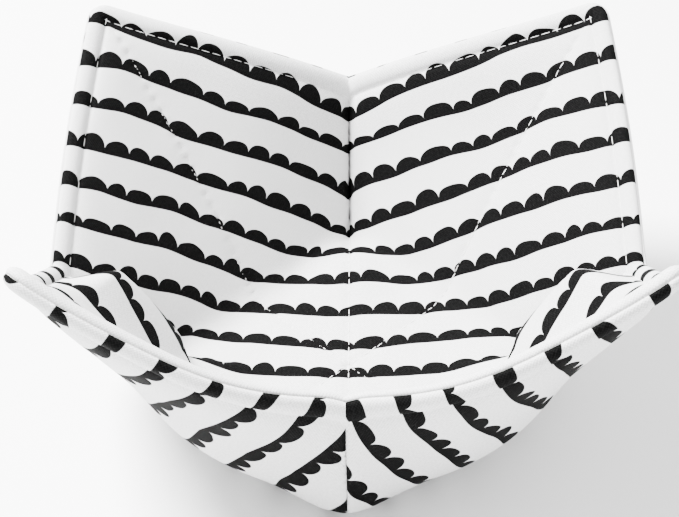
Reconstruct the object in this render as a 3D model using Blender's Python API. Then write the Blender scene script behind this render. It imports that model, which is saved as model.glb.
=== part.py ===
# Quilted bowl cozy: a square of padded cloth with a dart sewn in the middle of each side,
# so that the floor stays flat and the four corners stand up as points round a hot bowl.
# Each cloth is made as it is sewn: cut flat, printed, its darts cut out, folded up and closed.
# X is to the right, Y to the back, Z up. The origin is the middle of the footprint, on the table.
import math

import bmesh
import bpy
from mathutils import Vector

MM = 0.001
ROOT_TWO = math.sqrt(2)

# Flat pattern
CUT_SIZE = 254.0 * MM  # square as cut from the cloth
SEAM_ALLOWANCE = 6.35 * MM
HALF = CUT_SIZE / 2 - SEAM_ALLOWANCE  # half of the finished square
DART_HALF_WIDTH = 25.0 * MM  # half of the cloth that a dart takes out of a side
DART_DEPTH = 52.0 * MM  # from the side to the dart's point
TOPSTITCH_INSET = 6.35 * MM
ROLL_INSET = 2.6 * MM  # crown of the padded roll outside the topstitching

# Layers, measured from the middle of the padding
CLOTH = 0.8 * MM
CLEARANCE = 0.3 * MM
LOFT_HALF = 3.3 * MM  # half of the whole thickness between seams
TOPSTITCH_HALF = 2.2 * MM
ROLL_HALF = 2.8 * MM
SEAM_HALF = 2.0 * MM  # half thickness where a dart seam draws the layers in
SEAM_FADE = 12.0 * MM  # from a dart's point to where its seam is drawn in fully
EDGE_HALF = CLOTH + CLEARANCE / 2
BATTING_EDGE_HALF = 0.9 * MM  # the padding thins out inside the roll

# Sewn form: a flat floor from dart point to dart point, and four flaps folded up from its edges
FOLD_SOFTNESS = 12.0 * MM  # the fold spreads this far to each side of its line
BACK_SEAM_FOOT = math.radians(62.0)  # slope of the back dart seam at the fold
BACK_SEAM_RIM = math.radians(70.0)  # and at the rim
BACK_SEAM_STRETCH = 0.08  # share by which its cloth is stretched
FRONT_SEAM_FOOT = math.radians(82.0)
FRONT_SEAM_RIM = math.radians(80.5)
FRONT_SEAM_STRETCH = 0.07
SIDE_SEAM_FOOT = math.radians(73.0)
SIDE_SEAM_RIM = math.radians(47.0)
SIDE_SEAM_STRETCH = -0.04
BACK_FLAP_FOOT = math.radians(60.0)  # slope of a flap's middle at the fold
BACK_FLAP_TIP = math.radians(46.0)
BACK_FLAP_HEADING = math.radians(42.5)  # way that the corner leans, from X towards Y
BACK_FLAP_BELLY = 1.4  # 1 for a crease down the flap's middle, more for a rounder flap
FRONT_FLAP_FOOT = math.radians(54.0)
FRONT_FLAP_TIP = math.radians(63.0)
FRONT_FLAP_HEADING = math.radians(34.5)
FRONT_FLAP_BELLY = 1.75
CORNER_DROOP = math.radians(8.5)  # how far the front corners have bent outward

# Printed rows of pennants
LINING_STRIPES = 1  # rows are stacked along Y on the lining
COVER_STRIPES = 0  # and along X on the cover
STRIPES_PER_HALF = 8  # the outermost row stands on the topstitching
PENNANT_HEIGHT = 6.2 * MM
CROSS_LINES = [15.0 * MM, 29.0 * MM, 42.0 * MM, 54.0 * MM, 62.0 * MM, 79.0 * MM, 91.0 * MM, 103.0 * MM]

# Topstitching
THREAD_RADIUS = 0.35 * MM

DART_POINT = HALF - DART_DEPTH
TOPSTITCH_LINE = HALF - TOPSTITCH_INSET
ROLL_LINE = HALF - ROLL_INSET
LEG_LENGTH = math.hypot(DART_HALF_WIDTH, DART_DEPTH)
LEG_RISE = (DART_DEPTH + DART_HALF_WIDTH) / ROOT_TWO  # a dart leg, measured square to the fold
LEG_SPREAD = (DART_DEPTH - DART_HALF_WIDTH) / ROOT_TWO  # and along the fold
FOLD_LINE = DART_POINT / ROOT_TWO  # from the square's middle to each fold
FLAP_LENGTH = HALF * ROOT_TWO - FOLD_LINE
BENT_LENGTH = FLAP_LENGTH / 4  # of the front corners
MERGE = 0.01 * MM
NEAR = 0.02 * MM


def dart_gap(reach):
    """Half of the dart's opening at a distance from the square's middle."""
    return DART_HALF_WIDTH * max(0.0, reach - DART_POINT) / DART_DEPTH


def folded_length(past_fold):
    """Length of cloth that stands in the flap: none on the floor, eased in across the fold."""
    if past_fold < -FOLD_SOFTNESS:
        return 0.0
    if past_fold > FOLD_SOFTNESS:
        return past_fold
    return (past_fold + FOLD_SOFTNESS) ** 2 / (4 * FOLD_SOFTNESS)


def arc(length, whole, foot, tip, stretch=0.0):
    """Run and height after a length of cloth whose slope turns evenly from its foot to its tip."""
    turn = tip - foot
    slope = foot + turn * length / whole
    radius = (1 + stretch) * whole / turn
    return radius * (math.sin(slope) - math.sin(foot)), radius * (math.cos(foot) - math.cos(slope))


def seam_point(across, standing, foot, rim, stretch):
    """Run and height of a dart seam, for the cloth's distance from the middle, square to the fold."""
    run, height = arc(standing * LEG_LENGTH / LEG_RISE, LEG_LENGTH, foot, rim, stretch)
    return (across - standing) * ROOT_TWO + run, height


def flap_point(across, standing, foot, tip, heading):
    """Point down the middle of a flap."""
    lean, height = arc(standing, FLAP_LENGTH, foot, tip)
    floor = (across - standing) / ROOT_TWO
    return Vector((floor + lean * math.cos(heading), floor + lean * math.sin(heading), height))


def fold(flat):
    """Place in the sewn cozy of a point of the flat square, on the middle of the padding."""
    side, back = math.copysign(1, flat.x), math.copysign(1, flat.y)
    x, y = abs(flat.x), abs(flat.y)
    across, along = (x + y) / ROOT_TWO, (x - y) / ROOT_TWO
    past_fold = across - FOLD_LINE
    standing = folded_length(past_fold)
    if back > 0:
        belly = BACK_FLAP_BELLY
        flap = flap_point(across, standing, BACK_FLAP_FOOT, BACK_FLAP_TIP, BACK_FLAP_HEADING)
        run, height = seam_point(across, standing, BACK_SEAM_FOOT, BACK_SEAM_RIM, BACK_SEAM_STRETCH)
    else:
        belly = FRONT_FLAP_BELLY
        flap = flap_point(across, standing, FRONT_FLAP_FOOT, FRONT_FLAP_TIP, FRONT_FLAP_HEADING)
        run, height = seam_point(across, standing, FRONT_SEAM_FOOT, FRONT_SEAM_RIM, FRONT_SEAM_STRETCH)
    seam = Vector((0, run, height))
    if along > 0:
        run, height = seam_point(across, standing, SIDE_SEAM_FOOT, SIDE_SEAM_RIM, SIDE_SEAM_STRETCH)
        seam = Vector((run, 0, height))

    # From the flap's middle towards the seam the cloth runs level at first, then bends to meet it
    to_seam = FOLD_LINE + past_fold * LEG_SPREAD / LEG_RISE if past_fold > 0 else across
    if abs(along) < NEAR:
        place = flap
    else:
        share = min(abs(along) / to_seam, 1.0)
        step = Vector((along, -along, 0)) / ROOT_TWO
        place = flap + step + (seam - flap - step / share) * share ** belly
    to_corner = HALF * ROOT_TWO - across
    if back < 0 and to_corner < BENT_LENGTH:
        bent = BENT_LENGTH * math.sin(CORNER_DROOP) * (1 - to_corner / BENT_LENGTH) ** 2
        place += Vector((0.8, 0.6, -1.0)) * bent
    return Vector((place.x * side, place.y * back, place.z + LOFT_HALF))


def half_thickness(flat):
    """Half of the padded thickness at a flat point: full between seams, drawn in along them."""
    reach = max(abs(flat.x), abs(flat.y))
    across = min(abs(flat.x), abs(flat.y))
    if reach > HALF - NEAR:
        return EDGE_HALF
    if reach > DART_POINT - NEAR and across < dart_gap(reach) + NEAR:
        drawn = min((reach - DART_POINT) / SEAM_FADE, 1.0)
        return LOFT_HALF + (SEAM_HALF - LOFT_HALF) * drawn
    if reach > ROLL_LINE - NEAR:
        return ROLL_HALF
    if reach > TOPSTITCH_LINE - NEAR:
        return TOPSTITCH_HALF
    return LOFT_HALF


def cut_line(mesh, faces, point, normal):
    """Cut some faces of the flat mesh along a straight line."""
    edges = {edge for face in faces for edge in face.edges}
    verts = {vert for face in faces for vert in face.verts}
    bmesh.ops.bisect_plane(
        mesh, geom=faces + list(edges) + list(verts), dist=MERGE / 100, plane_co=point, plane_no=normal)


def cut_lines(mesh, axis, places):
    """Cut the whole flat mesh along lines square to an axis."""
    normal = Vector((0, 0, 0))
    normal[axis] = 1
    for place in places:
        cut_line(mesh, list(mesh.faces), normal * place, normal)


def cut_darts(mesh):
    """Cut the four wedges out of the flat square."""
    for axis in (0, 1):
        for end in (-1, 1):
            for hand in (-1, 1):
                point, leg = Vector((0, 0, 0)), Vector((0, 0, 0))
                point[axis] = end * DART_POINT
                leg[axis] = end * DART_DEPTH
                leg[1 - axis] = hand * DART_HALF_WIDTH
                faces = [
                    f for f in mesh.faces
                    if f.calc_center_median()[axis] * end > DART_POINT
                    and f.calc_center_median()[1 - axis] * hand > 0
                ]
                cut_line(mesh, faces, point, leg.cross(Vector((0, 0, 1))))
    wedge = []
    for face in mesh.faces:
        middle = face.calc_center_median()
        reach, across = max(abs(middle.x), abs(middle.y)), min(abs(middle.x), abs(middle.y))
        if across < dart_gap(reach):
            wedge.append(face)
    bmesh.ops.delete(mesh, geom=wedge, context='FACES')


def print_stripes(mesh, axis, stripes, colour):
    """Print a pennant on each cell that stands on a stripe, by raising four triangles in the cell."""
    for face in list(mesh.faces):
        middle = face.calc_center_median()
        low = min(v.co[axis] for v in face.verts)
        high = max(v.co[axis] for v in face.verts)
        standing = any(abs(low - stripe) < NEAR for stripe in stripes)
        if not standing or high - low < PENNANT_HEIGHT:
            continue
        cut_off = len(face.verts) != 4 or abs((low + high) / 2 - middle[axis]) > NEAR
        apex = bmesh.ops.poke(mesh, faces=[face])
        top = apex['verts'][0]
        top.co = middle
        if not cut_off:
            top.co[axis] = low + PENNANT_HEIGHT
        for triangle in apex['faces']:
            base = [v for v in triangle.verts if v is not top]
            if all(abs(v.co[axis] - low) < NEAR for v in base):
                triangle.material_index = colour


def flat_cloth(stripe_axis, printed=True):
    """The flat square with its print lines and darts."""
    mesh = bmesh.new()
    bmesh.ops.create_grid(mesh, x_segments=1, y_segments=1, size=HALF)
    pitch = TOPSTITCH_LINE / STRIPES_PER_HALF
    stripes = [row * pitch for row in range(-STRIPES_PER_HALF, STRIPES_PER_HALF)]
    seams = [side * line for line in (DART_POINT, TOPSTITCH_LINE, ROLL_LINE) for side in (-1, 1)]
    crossing = [side * line for line in CROSS_LINES for side in (-1, 1)]
    cut_lines(mesh, stripe_axis, stripes[1:] + seams)
    cut_lines(mesh, 1 - stripe_axis, [0.0] + crossing + seams)
    cut_darts(mesh)
    print_stripes(mesh, stripe_axis, stripes, 1 if printed else 0)
    # Triangles set here, so that the layers' facets stay parallel once folded
    bmesh.ops.triangulate(mesh, faces=mesh.faces, quad_method='FIXED')
    return mesh


def sew(mesh, inward, depth=0.0, edge_half=None):
    """Fold the flat mesh up, close its darts and set it at a depth below the shown face of its side.

    With an edge half thickness, the layer ends at the crown of the roll, that far from the middle.
    """
    thickness = mesh.verts.layers.float.new('half_thickness')
    outside = mesh.verts.layers.int.new('outside')
    for vert in mesh.verts:
        reach = max(abs(vert.co.x), abs(vert.co.y))
        vert[thickness] = half_thickness(vert.co) - depth
        vert[outside] = int(reach > ROLL_LINE + NEAR)
        if edge_half and reach > ROLL_LINE - NEAR:
            vert[thickness] = edge_half
        vert.co = fold(vert.co)
    bmesh.ops.remove_doubles(mesh, verts=mesh.verts, dist=MERGE)
    mesh.normal_update()
    # The flat square faces up, so the folded normals point into the bowl
    moves = [vert.normal * vert[thickness] * (1 if inward else -1) for vert in mesh.verts]
    for vert, move in zip(mesh.verts, moves):
        vert.co += move
    if edge_half:
        bmesh.ops.delete(mesh, geom=[v for v in mesh.verts if v[outside]], context='VERTS')
    return mesh


def material(name, colour, roughness):
    """Plain cloth, padding or thread."""
    made = bpy.data.materials.new(name)
    made.use_nodes = True
    shader = made.node_tree.nodes['Principled BSDF']
    shader.inputs['Base Color'].default_value = (*colour, 1)
    shader.inputs['Roughness'].default_value = roughness
    shader.inputs['Metallic'].default_value = 0.0
    return made


def add_layer(name, upper, lower, materials, collection):
    """A closed layer: its upper and lower faces, joined by a strip round the edge."""
    bmesh.ops.reverse_faces(lower, faces=lower.faces)
    data = bpy.data.meshes.new(name)
    lower.to_mesh(data)
    lower.free()
    upper.from_mesh(data)
    bmesh.ops.bridge_loops(upper, edges=[edge for edge in upper.edges if edge.is_boundary])
    upper.to_mesh(data)
    upper.free()
    for entry in materials:
        data.materials.append(entry)
    data.shade_smooth()
    data.set_sharp_from_angle(angle=math.radians(40))
    layer = bpy.data.objects.new(name, data)
    collection.objects.link(layer)


def add_lining(materials, collection):
    shown = sew(flat_cloth(LINING_STRIPES), True)
    hidden = sew(flat_cloth(LINING_STRIPES, printed=False), True, CLOTH)
    add_layer('lining', shown, hidden, materials, collection)


def add_batting(materials, collection):
    skin = CLOTH + CLEARANCE
    upper = sew(flat_cloth(LINING_STRIPES, printed=False), True, skin, BATTING_EDGE_HALF)
    lower = sew(flat_cloth(COVER_STRIPES, printed=False), False, skin, BATTING_EDGE_HALF)
    add_layer('batting', upper, lower, materials, collection)


def add_cover(materials, collection):
    hidden = sew(flat_cloth(COVER_STRIPES, printed=False), False, CLOTH)
    shown = sew(flat_cloth(COVER_STRIPES), False)
    add_layer('outer_cover', hidden, shown, materials, collection)


def add_topstitch(name, stripe_axis, inward, materials, collection):
    """A thread that runs round the rim in the hollow beside the padded roll."""
    cloth = flat_cloth(stripe_axis)
    bearing = cloth.verts.layers.float.new('bearing')
    on_line = cloth.verts.layers.int.new('on_line')
    for vert in cloth.verts:
        reach = max(abs(vert.co.x), abs(vert.co.y))
        vert[on_line] = int(abs(reach - TOPSTITCH_LINE) < NEAR)
        vert[bearing] = math.atan2(vert.co.y, vert.co.x)
    sew(cloth, inward, -(CLEARANCE + THREAD_RADIUS))
    route = sorted((v for v in cloth.verts if v[on_line]), key=lambda v: v[bearing])
    curve = bpy.data.curves.new(name, 'CURVE')
    curve.dimensions = '3D'
    curve.bevel_depth = THREAD_RADIUS
    curve.bevel_resolution = 0
    spline = curve.splines.new('POLY')
    spline.points.add(len(route) - 1)
    for point, vert in zip(spline.points, route):
        point.co = (*vert.co, 1)
    spline.use_cyclic_u = True
    cloth.free()
    for entry in materials:
        curve.materials.append(entry)
    collection.objects.link(bpy.data.objects.new(name, curve))


def build():
    for old in list(bpy.data.objects):
        bpy.data.objects.remove(old)
    collection = bpy.data.collections.new('bowl_cozy')
    bpy.context.scene.collection.children.link(collection)
    white = material('white_cotton', (0.86, 0.86, 0.87), 0.85)
    black = material('black_print', (0.02, 0.02, 0.022), 0.8)
    fill = material('cotton_batting', (0.93, 0.92, 0.88), 0.95)
    thread = material('white_thread', (0.9, 0.9, 0.9), 0.6)
    add_lining([white, black], collection)
    add_batting([fill], collection)
    add_cover([white, black], collection)
    add_topstitch('lining_topstitch', LINING_STRIPES, True, [thread], collection)
    add_topstitch('outer_topstitch', COVER_STRIPES, False, [thread], collection)


build()
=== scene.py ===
import math

import bpy
from mathutils import Matrix, Vector, noise


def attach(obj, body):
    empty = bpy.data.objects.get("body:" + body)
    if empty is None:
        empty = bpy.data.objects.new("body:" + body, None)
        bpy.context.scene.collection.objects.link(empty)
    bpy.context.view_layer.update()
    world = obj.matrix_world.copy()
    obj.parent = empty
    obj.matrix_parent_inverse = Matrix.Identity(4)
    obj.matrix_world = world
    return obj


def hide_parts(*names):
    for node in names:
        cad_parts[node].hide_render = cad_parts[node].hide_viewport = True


# Bowl cozy: two printed cotton squares with padding between them, darted, turned and topstitched.
# Each cloth is made flat, its darts are cut, and it is folded up by the same rule as the CAD model.
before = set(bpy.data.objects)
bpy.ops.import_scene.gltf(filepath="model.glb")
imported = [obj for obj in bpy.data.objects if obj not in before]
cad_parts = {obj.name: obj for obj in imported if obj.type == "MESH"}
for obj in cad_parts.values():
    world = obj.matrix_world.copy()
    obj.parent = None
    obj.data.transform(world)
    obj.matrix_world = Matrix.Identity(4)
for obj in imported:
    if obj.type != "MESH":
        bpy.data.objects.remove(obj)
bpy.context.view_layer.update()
mm = 0.001
rootTwo = math.sqrt(2)

pattern = {
    "half": 120.65 * mm,  # half of the finished square
    "dartHalfWidth": 25.0 * mm,
    "dartDepth": 52.0 * mm,
    "cornerRadius": 7.0 * mm,  # a turned corner never comes out sharp
    "cells": 190,  # across the square
    "crowding": 0.3,  # how much finer the cells are along the edges than in the middle
}
form = {
    "middle": 3.3 * mm,  # height of the middle of the padding over the table
    "softness": 10.0 * mm,  # half width of the fold between floor and flaps
    # slope in degrees at the foot and at the rim, and how far the cloth eases or stretches
    "seams": {"back": (62.0, 70.0, 1.08), "front": (82.0, 80.5, 1.07), "side": (73.0, 47.0, 0.96)},
    # the same for the middle of a flap, with the way that it leans, from X towards Y
    "flaps": {"back": (60.0, 46.0, 42.5, 0.99), "front": (54.0, 63.0, 34.5, 1.02)},
    "belly": {"back": 1.35, "front": 1.7},  # 1 is a straight flap, more keeps it flat up to its seams
    "pulled": (32.0 * mm, 4.5 * mm),  # the front corners: over what length, how far
    "pulledWay": Vector((1.0, 0.1, 0.55)),
    "saddle": (15.0 * mm, 3.6 * mm),  # of the rim over the front seam: how wide, how high
    "slack": (36.0 * mm, 24.0 * mm, 2.6 * mm),  # of the front flaps: where beside the seam, how wide, how far
    "slackWay": Vector((0.25, 0.85, -0.35)),
    "slackEnds": (20.0 * mm, 12.0 * mm),  # it starts over these lengths from the fold and from the seam
    "lift": (50.0 * mm, 26.0 * mm, 4.0 * mm),  # of the floor towards the dart points: where, how wide, how high
    "lesserLift": 0.5,  # share of it at the sides and in front
    "sharedNormal": 6.0 * mm,  # from a dart seam, where its two sides start to face alike
    "frontEdge": (0.55, 25.0 * mm),  # slope of the line behind which the rim is plain, and how soon it changes
}
stuffing = {
    "loft": 3.3 * mm,  # half thickness between the seams
    "uneven": ((0.7 * mm, 28, 0.05), (0.16 * mm, 85, 0.1)),  # of the loft: height, scale, layer of the noise
    "stitched": 1.35 * mm,  # half thickness under the topstitching
    "inset": 6.35 * mm,  # topstitching from the edge
    "frontInset": 7.6 * mm,  # along the front, where the roll is fuller
    "rise": 9.0 * mm,  # from the topstitching to full thickness
    "rollHeight": 2.5 * mm,  # half thickness of the roll outside the topstitching
    "frontRoll": 3.3 * mm,
    "seamTurn": (6.0, -12.0),  # degrees round the roll, where the cloths meet: plain, and added in front
    "groove": (0.14, 1.3 * mm),  # of that seam: depth as a share of the roll, width
    "bulge": (3.0 * mm, 34.0 * mm),  # of the slack cover, low on the front flaps: how high, how wide
    "bulgePlace": (52.0 * mm, 62.0 * mm),
    "dartDip": 1.7 * mm,
    "dartWidth": 7.0 * mm,
    "dartStart": 5.0 * mm,  # the dip starts over this length before and after the point
    "thinnest": 1.1 * mm,
    "pinch": (0.7 * mm, 1.6 * mm, 9.0 * mm),  # at a dart point: how deep, how deep under the front, how wide
    "quiltDip": 0.9 * mm,
    "quiltWidth": 5.0 * mm,
    "pucker": (0.75, 0.35, 6.5 * mm),  # of the quilting: share that stays, share that comes and goes, length
    "quiltEnd": 6.0 * mm,  # the quilting fades over this length at the rim
    "cloth": 0.45 * mm,
    "gap": 0.15 * mm,
}
puff = {  # of the lining into the bowl, where it crowds in front of the side seams
    "high": 12.0 * mm,
    "ridge": 8.0 * mm,  # from the seam
    "slope": 30.0 * mm,  # from the ridge into the flap
    "start": 30.0 * mm,  # from the middle of the cozy
    "growth": 46.0 * mm,  # length over which it grows
    "rim": 12.0 * mm,  # length over which it ends at the topstitching
}

half = pattern["half"]
dartPoint = half - pattern["dartDepth"]
legLength = math.hypot(pattern["dartHalfWidth"], pattern["dartDepth"])
legRise = (pattern["dartDepth"] + pattern["dartHalfWidth"]) / rootTwo
legSpread = (pattern["dartDepth"] - pattern["dartHalfWidth"]) / rootTwo
foldLine = dartPoint / rootTwo
flapLength = half * rootTwo - foldLine


def dartGap(reach):
    return pattern["dartHalfWidth"] * max(0.0, reach - dartPoint) / pattern["dartDepth"]


def ease(value):
    value = min(max(value, 0.0), 1.0)
    return value * value * (3 - 2 * value)


def dome(value):  # rises steeply at first, then levels out, as a stuffed cloth does beside a seam
    value = min(max(value, 0.0), 1.0)
    return math.sqrt(1 - (1 - value) ** 2)


def standingLength(pastFold):
    soft = form["softness"]
    if pastFold < -soft:
        return 0.0
    if pastFold > soft:
        return pastFold
    return (pastFold + soft) ** 2 / (4 * soft)


def arc(length, whole, foot, tip, stretch):
    # Run and height along a line whose slope turns evenly
    foot, tip = math.radians(foot), math.radians(tip)
    turn = tip - foot
    slope, radius = foot + turn * length / whole, stretch * whole / turn
    return radius * (math.sin(slope) - math.sin(foot)), radius * (math.cos(foot) - math.cos(slope))


def floorLift(x, y, back):
    where, wide, high = form["lift"]
    if back > 0:
        near = ease(1 - math.hypot(x, y - where) / wide)
    else:  # in front the point itself is drawn up
        near = form["lesserLift"] * ease(1 - math.hypot(x, y - dartPoint) / wide)
    return high * max(near, form["lesserLift"] * ease(1 - math.hypot(x - where, y) / wide))


def foldedPoint(x, y, side, back):
    # Middle of the padding; side and back are 1 or -1 and name the quarter
    x, y = x * side, y * back
    across, along = (x + y) / rootTwo, (x - y) / rootTwo
    pastFold = across - foldLine
    standing = standingLength(pastFold)
    end = "back" if back > 0 else "front"
    foot, tip, heading, stretch = form["flaps"][end]
    lean, height = arc(standing, flapLength, foot, tip, stretch)
    floor = (across - standing) / rootTwo
    heading = math.radians(heading)
    flap = Vector((floor + lean * math.cos(heading), floor + lean * math.sin(heading), height))
    foot, tip, stretch = form["seams"][end if along < 0 else "side"]
    run, height = arc(standing * legLength / legRise, legLength, foot, tip, stretch)
    run += (across - standing) * rootTwo
    seam = Vector((0, run, height)) if along < 0 else Vector((run, 0, height))
    toSeam = foldLine + pastFold * legSpread / legRise if pastFold > 0 else max(across, 1e-6)
    share = abs(along) / toSeam
    reach = Vector((1, -1, 0)) * math.copysign(toSeam, along) / rootTwo
    place = flap + reach * share + (seam - flap - reach) * share ** form["belly"][end]
    if back < 0:
        length, far = form["pulled"]
        bent = max(0.0, 1 - (half * rootTwo - across) / length) ** 2
        place += form["pulledWay"] * far * bent
        beside = max(x - dartGap(y), 0.0)
        wide, high = form["saddle"]
        place.z += high * math.exp(-(beside / wide) ** 2) * ease((y - dartPoint) / pattern["dartDepth"])
        where, wide, far = form["slack"]
        fromFold, fromSeam = form["slackEnds"]
        ends = ease(standing / fromFold) * ease(beside / fromSeam)
        place += form["slackWay"] * far * math.exp(-((beside - where) / wide) ** 2) * ends
    return Vector((place.x * side, place.y * back, place.z + form["middle"] + floorLift(x, y, back)))


def seamDistance(x, y):
    far, near = max(abs(x), abs(y)), min(abs(x), abs(y))
    return max(near - dartGap(far), 0.0)


def foldedNormal(x, y, side, back):
    # Into the bowl, and shared by both sides of a dart seam
    small = 0.2 * mm  # step of the slope
    alongX = foldedPoint(x + small, y, side, back) - foldedPoint(x - small, y, side, back)
    alongY = foldedPoint(x, y + small, side, back) - foldedPoint(x, y - small, side, back)
    normal = alongX.cross(alongY).normalized()
    if abs(y) > abs(x):
        other = Vector((-normal.x, normal.y, normal.z))
    else:
        other = Vector((normal.x, -normal.y, normal.z))
    own = 0.5 + 0.5 * ease(seamDistance(x, y) / form["sharedNormal"])
    return (normal * own + other * (1 - own)).normalized()


def edgeDistance(x, y):
    # From the rounded outline of the square
    inner = half - pattern["cornerRadius"]
    over = Vector((max(abs(x) - inner, 0.0), max(abs(y) - inner, 0.0)))
    if over.x > 0 and over.y > 0:
        return pattern["cornerRadius"] - over.length
    return half - max(abs(x), abs(y))


def frontness(x, y):
    # 1 along the two front edges, where the seam has rolled over to the outside
    slope, soon = form["frontEdge"]
    return ease((-y - slope * abs(x)) / soon)


def between(low, high, share):
    return low + (high - low) * share


def stitchInset(x, y):
    return between(stuffing["inset"], stuffing["frontInset"], frontness(x, y))


def puffHeight(x, y, inward):
    # The inner cloth has more length here than room
    past = -y - dartGap(abs(x))
    if past <= 0 or abs(x) < puff["start"]:
        return 0.0
    ridge = puff["ridge"]
    rise = dome(past / ridge) if past < ridge else ease(1 - (past - ridge) / puff["slope"])
    return puff["high"] * rise * ease((abs(x) - puff["start"]) / puff["growth"]) * ease(inward / puff["rim"])


def loft(x, y, lining):
    # Half thickness inside the topstitching
    inward = edgeDistance(x, y) - stitchInset(x, y)
    full = stuffing["loft"]
    for height, scale, layer in stuffing["uneven"]:
        full += height * noise.noise(Vector((x, y, layer if lining else 7 * layer)) * scale)
    high = stuffing["stitched"] + (full - stuffing["stitched"]) * dome(inward / stuffing["rise"])
    reach = max(abs(x), abs(y))
    drawn = ease((reach - dartPoint + stuffing["dartStart"]) / (2 * stuffing["dartStart"]))
    if drawn > 0:
        dip = stuffing["dartDip"] * drawn * (1 - dome(seamDistance(x, y) / stuffing["dartWidth"]))
        high = max(high - dip, stuffing["thinnest"])
    shallow, deep, wide = stuffing["pinch"]
    toPoint = Vector((min(abs(x), abs(y)), reach - dartPoint)).length
    high -= (shallow if lining or y > 0 else deep) * (1 - ease(toPoint / wide))
    if not lining and y < 0:
        (height, wide), (aside, ahead) = stuffing["bulge"], stuffing["bulgePlace"]
        high += height * ease(1 - math.hypot(abs(x) - aside, y + ahead) / wide)
    if lining:
        high += puffHeight(x, y, inward) - quiltDepth(x, y, inward)
    return high


def quiltDepth(x, y, inward):
    # Two diagonals, and a line from the back dart point to the front one
    toLine = abs(abs(x) - abs(y)) / rootTwo
    if abs(y) < dartPoint:
        toLine = min(toLine, abs(x))
    steady, changing, length = stuffing["pucker"]
    pucker = steady + changing * math.sin((abs(x) + abs(y)) * 2 * math.pi / length)
    fade = ease(inward / stuffing["quiltEnd"])
    return stuffing["quiltDip"] * pucker * (1 - dome(toLine / stuffing["quiltWidth"])) * fade


def rimSection(outward, lining, front, inset, depth):
    # Round the roll: distance inward from the crown, and height over the middle of the padding
    high = between(stuffing["rollHeight"], stuffing["frontRoll"], front) - depth
    rise = math.asin((stuffing["stitched"] - depth) / high)
    wide = (inset - depth) / (1 + math.cos(rise))
    hand = 1 if lining else -1
    start, seam, narrowed = hand * (math.pi - rise), 0.0, 1.0
    if depth == 0:  # the two cloths meet in a fine groove
        plain, added = stuffing["seamTurn"]
        seam = math.radians(plain + added * front) + hand * 0.03
        deep, across = stuffing["groove"]
        narrowed = 1 - deep * (1 - ease((1 - outward) * inset / across))
    angle = start + (seam - start) * outward
    return depth + wide * (1 - math.cos(angle) * narrowed), high * math.sin(angle) * narrowed


def sewnPoint(x, y, lining, depth=0.0):
    # Place of a flat point on the lining or the cover, or at a depth inside it
    side, back = math.copysign(1, x), math.copysign(1, y)
    toEdge, inset = edgeDistance(x, y), stitchInset(x, y)
    if toEdge > inset:
        high = (loft(x, y, lining) - depth) * (1 if lining else -1)
        return foldedPoint(x, y, side, back) + foldedNormal(x, y, side, back) * high
    inward, high = rimSection(1 - toEdge / inset, lining, frontness(x, y), inset, depth)
    outward = edgeDirection(x, y) * (toEdge - inward)  # out to where the roll has this point
    x, y = x + outward.x, y + outward.y
    return foldedPoint(x, y, side, back) + foldedNormal(x, y, side, back) * high


def edgeDirection(x, y):
    # Outwards, or along the leg of a dart beside one
    inner = half - pattern["cornerRadius"]
    over = Vector((max(abs(x) - inner, 0.0), max(abs(y) - inner, 0.0)))
    if over.x > 0 and over.y > 0:
        return Vector((math.copysign(over.x, x), math.copysign(over.y, y))).normalized()
    if abs(x) > abs(y):
        gap = dartGap(abs(x)) - dartGap(abs(x) - 1 * mm)
        return Vector((math.copysign(1, x), math.copysign(gap / mm, y) * (abs(y) < half * 0.5)))
    gap = dartGap(abs(y)) - dartGap(abs(y) - 1 * mm)
    return Vector((math.copysign(gap / mm, x) * (abs(x) < half * 0.5), math.copysign(1, y)))


def deselectAll():
    if bpy.context.mode != "OBJECT":
        bpy.ops.object.mode_set(mode="OBJECT")
    bpy.ops.object.select_all(action="DESELECT")


def selectOnly(*objects):
    deselectAll()
    for item in objects:
        item.select_set(True)
    bpy.context.view_layer.objects.active = objects[0]


def cutDarts(cloth):
    # Along both legs of each dart, then the wedge between them comes out
    for axis in (0, 1):
        for end in (-1, 1):
            for hand in (-1, 1):
                for face in cloth.data.polygons:
                    middle = face.center
                    beside = 0 < middle[1 - axis] * hand < pattern["dartHalfWidth"] + 3 * mm
                    face.select = beside and middle[axis] * end > dartPoint - 1 * mm
                point, leg = Vector((0, 0, 0)), Vector((0, 0, 0))
                point[axis] = end * dartPoint
                leg[axis], leg[1 - axis] = end * pattern["dartDepth"], hand * pattern["dartHalfWidth"]
                across = leg.cross(Vector((0, 0, 1))).normalized()
                bpy.ops.object.mode_set(mode="EDIT")
                bpy.ops.mesh.bisect(plane_co=point, plane_no=across, threshold=1e-6)
                bpy.ops.object.mode_set(mode="OBJECT")
    for face in cloth.data.polygons:
        reach = max(abs(face.center.x), abs(face.center.y))
        face.select = min(abs(face.center.x), abs(face.center.y)) < dartGap(reach) - 0.001 * mm
    bpy.ops.object.mode_set(mode="EDIT")
    bpy.ops.mesh.delete(type="FACE")
    bpy.ops.object.mode_set(mode="OBJECT")


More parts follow.
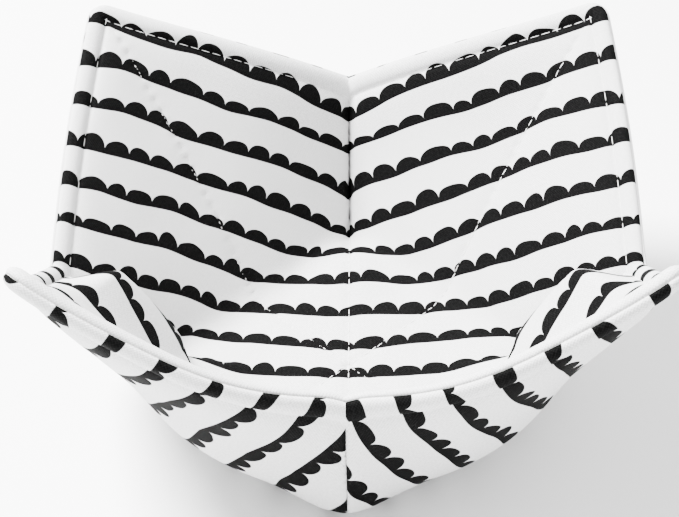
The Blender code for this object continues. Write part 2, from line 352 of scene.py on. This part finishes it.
def flatSquare(name, cells):
    deselectAll()
    bpy.ops.mesh.primitive_grid_add(x_subdivisions=cells, y_subdivisions=cells, size=2 * half,
                                    location=(0, 0, 0))
    cloth = bpy.context.object
    cloth.name = name
    bpy.context.tool_settings.mesh_select_mode = (False, False, True)
    inner = half - pattern["cornerRadius"]
    for vertex in cloth.data.vertices:
        for axis in (0, 1):  # finer towards the edges
            share = vertex.co[axis] / half
            vertex.co[axis] = half * (share + pattern["crowding"] * math.sin(math.pi * share) / math.pi)
        over = Vector((max(abs(vertex.co.x) - inner, 0.0), max(abs(vertex.co.y) - inner, 0.0)))
        if over.x > 0 and over.y > 0:  # round the corner
            over = over.normalized() * max(over.x, over.y)
            vertex.co.x = math.copysign(inner + over.x, vertex.co.x)
            vertex.co.y = math.copysign(inner + over.y, vertex.co.y)
    cutDarts(cloth)
    layer = cloth.data.uv_layers.active
    for loop in cloth.data.loops:
        place = cloth.data.vertices[loop.vertex_index].co
        layer.data[loop.index].uv = (place.x / (2 * half) + 0.5, place.y / (2 * half) + 0.5)
    return cloth


def foldUp(cloth, lining, depth=0.0):
    for vertex in cloth.data.vertices:
        vertex.co = sewnPoint(vertex.co.x, vertex.co.y, lining, depth)
    selectOnly(cloth)
    bpy.ops.object.mode_set(mode="EDIT")
    bpy.ops.mesh.select_all(action="SELECT")
    bpy.ops.mesh.remove_doubles(threshold=0.01 * mm)
    if not lining:
        bpy.ops.mesh.flip_normals()
    bpy.ops.object.mode_set(mode="OBJECT")


def applied(piece, kind, **settings):
    selectOnly(piece)
    made = piece.modifiers.new(kind.title(), kind)
    for key, value in settings.items():
        setattr(made, key, value)
    bpy.ops.object.modifier_apply(modifier=made.name)


# Node helpers
def link(tree, value, socket):
    if isinstance(value, (int, float, tuple)):
        socket.default_value = value
    else:
        tree.links.new(value, socket)


def calculate(tree, operation, *values):
    made = tree.nodes.new("ShaderNodeMath")
    made.operation = operation
    for value, socket in zip(values, made.inputs):
        link(tree, value, socket)
    return made.outputs[0]


def mottle(tree, along, across, scale, detail=2.0):
    joined = tree.nodes.new("ShaderNodeCombineXYZ")
    link(tree, along, joined.inputs[0])
    link(tree, across, joined.inputs[1])
    made = tree.nodes.new("ShaderNodeTexNoise")
    made.noise_dimensions = "2D"
    made.inputs["Scale"].default_value = scale
    made.inputs["Detail"].default_value = detail
    tree.links.new(joined.outputs[0], made.inputs["Vector"])
    return made.outputs["Fac"]


def chance(tree, first, second):
    joined = tree.nodes.new("ShaderNodeCombineXYZ")
    link(tree, first, joined.inputs[0])
    link(tree, second, joined.inputs[1])
    made = tree.nodes.new("ShaderNodeTexWhiteNoise")
    made.noise_dimensions = "2D"
    tree.links.new(joined.outputs[0], made.inputs["Vector"])
    return made.outputs["Value"]


def remap(tree, value, low, high, newLow, newHigh):
    made = tree.nodes.new("ShaderNodeMapRange")
    for number, socket in zip((low, high, newLow, newHigh), made.inputs[1:5]):
        socket.default_value = number
    tree.links.new(value, made.inputs[0])
    return made.outputs[0]


printing = {
    "pitch": 14.4,  # mm from row to row
    "liningStart": -3.6,  # mm, where a row of the lining stands
    "coverStart": 8.5,
    "lumpWidth": 9.6,
    "lumpHeight": (2.7, 4.3),
    "foot": 1.9,  # height of the band that the lumps stand on
    "wander": 2.0,  # how much a row's line strays
    "unevenLumps": 8.5,  # how far the lumps stray along it
    "lastRow": -7.5,  # none falls on the lining's front edge
    # Where a print isn't straight: two ranges in mm and what each gives, multiplied
    "frontSag": ((28, 4, 0, 3.1), (36, 72, 1, 0)),
    "seamSag": ((97, 108, 0, 5.4), (22, 80, 1, 0)),
    "floorRise": ((8, 34, 0, 2.0), (58, 92, 1, 0)),
    "floorRiseEnd": (66, 48, 0, 1),
    "coverSlant": ((-120, -85, -0.8, 5.5), (-4, -30, 0, 1)),
    "threads": (7.4, 6.6),  # of the weave, warp and weft, in radians to the millimetre
    "ink": (0.0004, 0.005),
    "cotton": (0.5, 0.76),
    "bump": 0.16 * mm,
}


def product(tree, first, firstRange, second, secondRange):
    return calculate(tree, "MULTIPLY", remap(tree, first, *firstRange), remap(tree, second, *secondRange))


def thread(tree, waver, amount, place, pitch):
    phase = calculate(tree, "MULTIPLY_ADD", waver, amount, calculate(tree, "MULTIPLY", place, pitch))
    return calculate(tree, "SINE", phase)


def printedCotton(name, rowsAcrossX, start):
    made = bpy.data.materials.new(name)
    made.use_nodes = True
    tree = made.node_tree
    shader = tree.nodes["Principled BSDF"]
    coordinates = tree.nodes.new("ShaderNodeTexCoord")
    mapping = tree.nodes.new("ShaderNodeMapping")  # the pattern's own millimetres, from its middle
    side = 2 * half / mm
    mapping.inputs["Scale"].default_value = (side, side, 1)
    mapping.inputs["Location"].default_value = (-side / 2, -side / 2, 0)
    tree.links.new(coordinates.outputs["UV"], mapping.inputs["Vector"])
    parts = tree.nodes.new("ShaderNodeSeparateXYZ")
    tree.links.new(mapping.outputs[0], parts.inputs[0])
    along, across = parts.outputs[0], parts.outputs[1]
    if rowsAcrossX:  # the cover hangs slack on the left front flap, and its print slants there
        along, across = across, along
        alongRange, acrossRange = printing["coverSlant"]
        across = calculate(tree, "ADD", across, product(tree, along, alongRange, across, acrossRange))
    else:  # the lining's rows sink in front and beside the back seam, and rise on the sides of the floor
        away = calculate(tree, "ABSOLUTE", along)
        acrossRange, awayRange = printing["frontSag"]
        frontSag = product(tree, across, acrossRange, away, awayRange)
        acrossRange, awayRange = printing["seamSag"]
        seamSag = product(tree, across, acrossRange, away, awayRange)
        startRange, endRange = printing["floorRise"]
        rise = product(tree, away, startRange, away, endRange)
        rise = calculate(tree, "MULTIPLY", rise, remap(tree, across, *printing["floorRiseEnd"]))
        across = calculate(tree, "SUBTRACT", across, rise)
        across = calculate(tree, "ADD", across, calculate(tree, "ADD", frontSag, seamSag))
    # Rows, with lines that wander a little
    stray = calculate(tree, "SUBTRACT", mottle(tree, along, across, 0.035, 1.0), 0.5)
    stray = calculate(tree, "MULTIPLY", stray, printing["wander"] * 2)
    place = calculate(tree, "SUBTRACT", calculate(tree, "ADD", across, stray), start)
    place = calculate(tree, "DIVIDE", place, printing["pitch"])
    row = calculate(tree, "FLOOR", place)
    above = calculate(tree, "MULTIPLY", calculate(tree, "FRACT", place), printing["pitch"])
    # Lumps of uneven width and height on each row
    uneven = mottle(tree, along, calculate(tree, "MULTIPLY", row, 37.7), 0.06, 1.0)
    lump = calculate(tree, "ADD", along, calculate(tree, "MULTIPLY", uneven, printing["unevenLumps"]))
    lump = calculate(tree, "DIVIDE", lump, printing["lumpWidth"])
    lump = calculate(tree, "ADD", lump, calculate(tree, "MULTIPLY", row, 0.37))
    number = calculate(tree, "FLOOR", lump)
    offset = calculate(tree, "MULTIPLY_ADD", calculate(tree, "FRACT", lump), 2.0, -1.0)
    arch = calculate(tree, "SUBTRACT", 1.0, calculate(tree, "MULTIPLY", offset, offset))
    arch = calculate(tree, "SQRT", arch)
    tall = remap(tree, chance(tree, number, row), 0, 1, *printing["lumpHeight"])
    top = calculate(tree, "MULTIPLY_ADD", arch, tall, printing["foot"])
    inkedTop = remap(tree, calculate(tree, "SUBTRACT", top, above), -0.12, 0.12, 0, 1)
    inkedFoot = remap(tree, above, 0.0, 0.2, 0, 1)
    ink = calculate(tree, "MULTIPLY", inkedTop, inkedFoot)
    if not rowsAcrossX:
        ink = calculate(tree, "MULTIPLY", ink, calculate(tree, "GREATER_THAN", row, printing["lastRow"]))
    # Plain weave, uneven in thread and in ink
    waver = mottle(tree, along, across, 0.35, 2.0)
    warpPitch, weftPitch = printing["threads"]
    warp = thread(tree, waver, 2.2, along, warpPitch)
    weft = thread(tree, waver, -2.2, across, weftPitch)
    weave = calculate(tree, "MULTIPLY", warp, weft)
    slub = mottle(tree, along, across, 1.4, 3.0)
    worn = calculate(tree, "MULTIPLY_ADD", weave, 0.3, slub)
    inkShade = remap(tree, worn, 0.3, 0.95, *printing["ink"])
    clothShade = remap(tree, worn, 0.15, 0.95, *printing["cotton"])
    mix = tree.nodes.new("ShaderNodeMix")
    mix.data_type = "FLOAT"
    link(tree, ink, mix.inputs[0])
    link(tree, clothShade, mix.inputs[2])
    link(tree, inkShade, mix.inputs[3])
    tree.links.new(mix.outputs[0], shader.inputs["Base Color"])
    tree.links.new(remap(tree, ink, 0, 1, 0.92, 0.8), shader.inputs["Roughness"])
    shader.inputs["Specular IOR Level"].default_value = 0.03
    height = calculate(tree, "MULTIPLY_ADD", slub, 0.6, calculate(tree, "MULTIPLY", weave, 0.5))
    bump = tree.nodes.new("ShaderNodeBump")
    bump.inputs["Strength"].default_value = 0.6
    bump.inputs["Distance"].default_value = printing["bump"]
    tree.links.new(height, bump.inputs["Height"])
    tree.links.new(bump.outputs[0], shader.inputs["Normal"])
    return made


def plainMaterial(name, colour, roughness, grain, depth):
    made = bpy.data.materials.new(name)
    made.use_nodes = True
    tree = made.node_tree
    shader = tree.nodes["Principled BSDF"]
    coordinates = tree.nodes.new("ShaderNodeTexCoord")
    texture = tree.nodes.new("ShaderNodeTexNoise")
    texture.inputs["Scale"].default_value = grain
    texture.inputs["Detail"].default_value = 4.0
    tree.links.new(coordinates.outputs["Object"], texture.inputs["Vector"])
    ramp = tree.nodes.new("ShaderNodeValToRGB")
    ramp.color_ramp.elements[0].position = 0.3
    ramp.color_ramp.elements[0].color = (*[c * 0.86 for c in colour], 1)
    ramp.color_ramp.elements[1].position = 0.7
    ramp.color_ramp.elements[1].color = (*colour, 1)
    tree.links.new(texture.outputs["Fac"], ramp.inputs[0])
    tree.links.new(ramp.outputs[0], shader.inputs["Base Color"])
    shader.inputs["Roughness"].default_value = roughness
    bump = tree.nodes.new("ShaderNodeBump")
    bump.inputs["Strength"].default_value = 0.4
    bump.inputs["Distance"].default_value = depth
    tree.links.new(texture.outputs["Fac"], bump.inputs["Height"])
    tree.links.new(bump.outputs[0], shader.inputs["Normal"])
    return made


def makeCloth(name, lining, material):
    cloth = flatSquare(name, pattern["cells"])
    foldUp(cloth, lining)
    # The thickness goes inwards, away from the printed face
    applied(cloth, "SOLIDIFY", thickness=stuffing["cloth"], offset=-1, use_even_offset=False)
    selectOnly(cloth)
    bpy.ops.object.shade_smooth()
    cloth.data.materials.append(material)
    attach(cloth, "root")
    return cloth


batting = {
    "cells": 90,
    "colour": (0.9, 0.89, 0.86),
    "grain": 900,
    "bump": 0.3 * mm,
}


def makePadding():
    skin = stuffing["cloth"] + stuffing["gap"]
    upper = flatSquare("padding", batting["cells"])
    foldUp(upper, True, skin)
    lower = flatSquare("paddingUnder", batting["cells"])
    foldUp(lower, False, skin)
    selectOnly(upper, lower)
    bpy.ops.object.join()
    padding = bpy.context.object
    bpy.ops.object.mode_set(mode="EDIT")
    bpy.ops.mesh.select_all(action="SELECT")
    bpy.ops.mesh.remove_doubles(threshold=0.02 * mm)
    bpy.ops.object.mode_set(mode="OBJECT")
    bpy.ops.object.shade_smooth()
    cotton = plainMaterial("cottonBatting", batting["colour"], 0.95, batting["grain"], batting["bump"])
    padding.data.materials.append(cotton)
    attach(padding, "root")
    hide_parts("batting")


stitching = {
    "radius": 0.15 * mm,
    "length": 2.8 * mm,
    "pitch": 3.2 * mm,
    "lift": 0.1 * mm,
    "flatness": 0.8,
    "hole": 0.09,  # share of the pitch between a stitch's end and its hole
}


def stitchesAlong(lines, lining, name, replaced=None):
    # One stitch is modelled, and copied along the lines of the flat pattern
    deselectAll()
    bpy.ops.mesh.primitive_uv_sphere_add(segments=6, ring_count=5, radius=stitching["radius"],
                                         location=(0, 0, 0))
    oneStitch = bpy.context.object
    drawnOut = stitching["length"] / stitching["radius"] / 2
    for vertex in oneStitch.data.vertices:
        vertex.co = (vertex.co.z * drawnOut, vertex.co.x, vertex.co.y * stitching["flatness"])
    copies = []
    for first, last in lines:
        count = max(1, round((last - first).length / stitching["pitch"]))
        for number in range(count):
            start = first.lerp(last, (number + stitching["hole"]) / count)
            stop = first.lerp(last, (number + 1 - stitching["hole"]) / count)
            head = sewnPoint(start.x, start.y, lining)
            tail = sewnPoint(stop.x, stop.y, lining)
            middle = (start + stop) / 2
            side, back = math.copysign(1, middle.x), math.copysign(1, middle.y)
            up = foldedNormal(middle.x, middle.y, side, back) * (1 if lining else -1)
            place = sewnPoint(middle.x, middle.y, lining) * 0.5 + (head + tail) * 0.25
            place += up * stitching["lift"]
            ahead = tail - head
            size = ahead.length / stitching["length"]
            ahead.normalize()
            across = up.cross(ahead).normalized()
            turn = Matrix((ahead * size, across, ahead.cross(across))).transposed().to_4x4()
            copy = bpy.data.objects.new(name, oneStitch.data.copy())
            copy.data.transform(Matrix.Translation(place) @ turn)
            bpy.context.scene.collection.objects.link(copy)
            copies.append(copy)
    bpy.data.objects.remove(oneStitch)
    selectOnly(*copies)
    bpy.ops.object.join()
    stitches = bpy.context.object
    stitches.name = name
    bpy.ops.object.shade_smooth()
    stitches.data.materials.append(whiteThread)
    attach(stitches, "root")
    if replaced:
        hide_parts(replaced)
    print(name, len(copies), "stitches")


def topstitchLines():
    lines = []
    for end in (-1, 1):
        for hand in (-1, 1):
            for turned in (False, True):
                stops = []
                for share in range(13):  # the inset changes along the sides
                    line = half - stuffing["inset"]
                    for _ in range(3):  # the inset and the place depend on each other
                        gap = dartGap(line)
                        along = gap + (half - 5 * mm - gap) * share / 12
                        x, y = (end * line, hand * along) if turned else (hand * along, end * line)
                        line = half - stitchInset(x, y) + 0.02 * mm
                    x, y = (end * line, hand * along) if turned else (hand * along, end * line)
                    stops.append(Vector((x, y)))
                lines += zip(stops, stops[1:])
    return lines


def quiltLines():
    reach = half - stuffing["inset"] - 3 * mm
    lines = [(Vector((0.001 * mm, 0.0)), Vector((0.001 * mm, end * dartPoint))) for end in (-1, 1)]
    for side in (-1, 1):
        for back in (-1, 1):
            lines.append((Vector((0.5 * mm * side, 0.5 * mm * back)), Vector((reach * side, reach * back))))
    return lines


print("printing and folding the lining")
liningPrint = printedCotton("liningPrint", False, printing["liningStart"])
coverPrint = printedCotton("coverPrint", True, printing["coverStart"])
whiteThread = plainMaterial("whiteThread", (0.85, 0.85, 0.84), 0.6, 2500, 0.05 * mm)
lining = makeCloth("liningCloth", True, liningPrint)
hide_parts("lining")

print("printing and folding the cover")
cover = makeCloth("coverCloth", False, coverPrint)
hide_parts("outer_cover")

print("filling")
makePadding()

print("stitching")
stitchesAlong(topstitchLines(), True, "liningTopstitch", "lining_topstitch")
stitchesAlong(topstitchLines(), False, "coverTopstitch", "outer_topstitch")
stitchesAlong(quiltLines(), True, "quiltingStitches")

lighting = {
    "room": 1.8,
    "window": ((-0.65, 0.25, 1.15), 0.5, 165),  # place, size and power
    "fill": ((0.8, 0.7, 0.9), 0.9, 8),
    "floor": 6,  # metres across
}
view = {
    "lens": 91.1,
    "place": (0.0054, -0.4206, 0.4118),
    "turn": (49.6, 0.65, 0.53),
}

print("camera, floor and light")
deselectAll()
bpy.ops.mesh.primitive_plane_add(size=lighting["floor"], location=(0, 0, 0))
floor = bpy.context.object
floor.name = "floor"
paper = bpy.data.materials.new("whitePaper")
paper.use_nodes = True
paperShader = paper.node_tree.nodes["Principled BSDF"]
paperShader.inputs["Base Color"].default_value = (0.95, 0.95, 0.95, 1)
paperShader.inputs["Roughness"].default_value = 0.9
paperShader.inputs["Specular IOR Level"].default_value = 0.1
floor.data.materials.append(paper)

world = bpy.data.worlds.new("softRoom")
bpy.context.scene.world = world
world.use_nodes = True
world.node_tree.nodes["Background"].inputs["Color"].default_value = (1, 1, 1, 1)
world.node_tree.nodes["Background"].inputs["Strength"].default_value = lighting["room"]


def softLight(name, place, size, power):
    data = bpy.data.lights.new(name, "AREA")
    data.shape = "DISK"
    data.size = size
    data.energy = power
    lamp = bpy.data.objects.new(name, data)
    lamp.location = place
    lamp.rotation_euler = (-Vector(place)).to_track_quat("-Z", "Y").to_euler()
    bpy.context.scene.collection.objects.link(lamp)


softLight("windowLight", *lighting["window"])
softLight("fillLight", *lighting["fill"])

cameraData = bpy.data.cameras.new("camera")
cameraData.sensor_width = 36.0
cameraData.lens = view["lens"]
camera = bpy.data.objects.new("camera", cameraData)
camera.location = view["place"]
camera.rotation_euler = [math.radians(turn) for turn in view["turn"]]
bpy.context.scene.collection.objects.link(camera)
bpy.context.scene.camera = camera
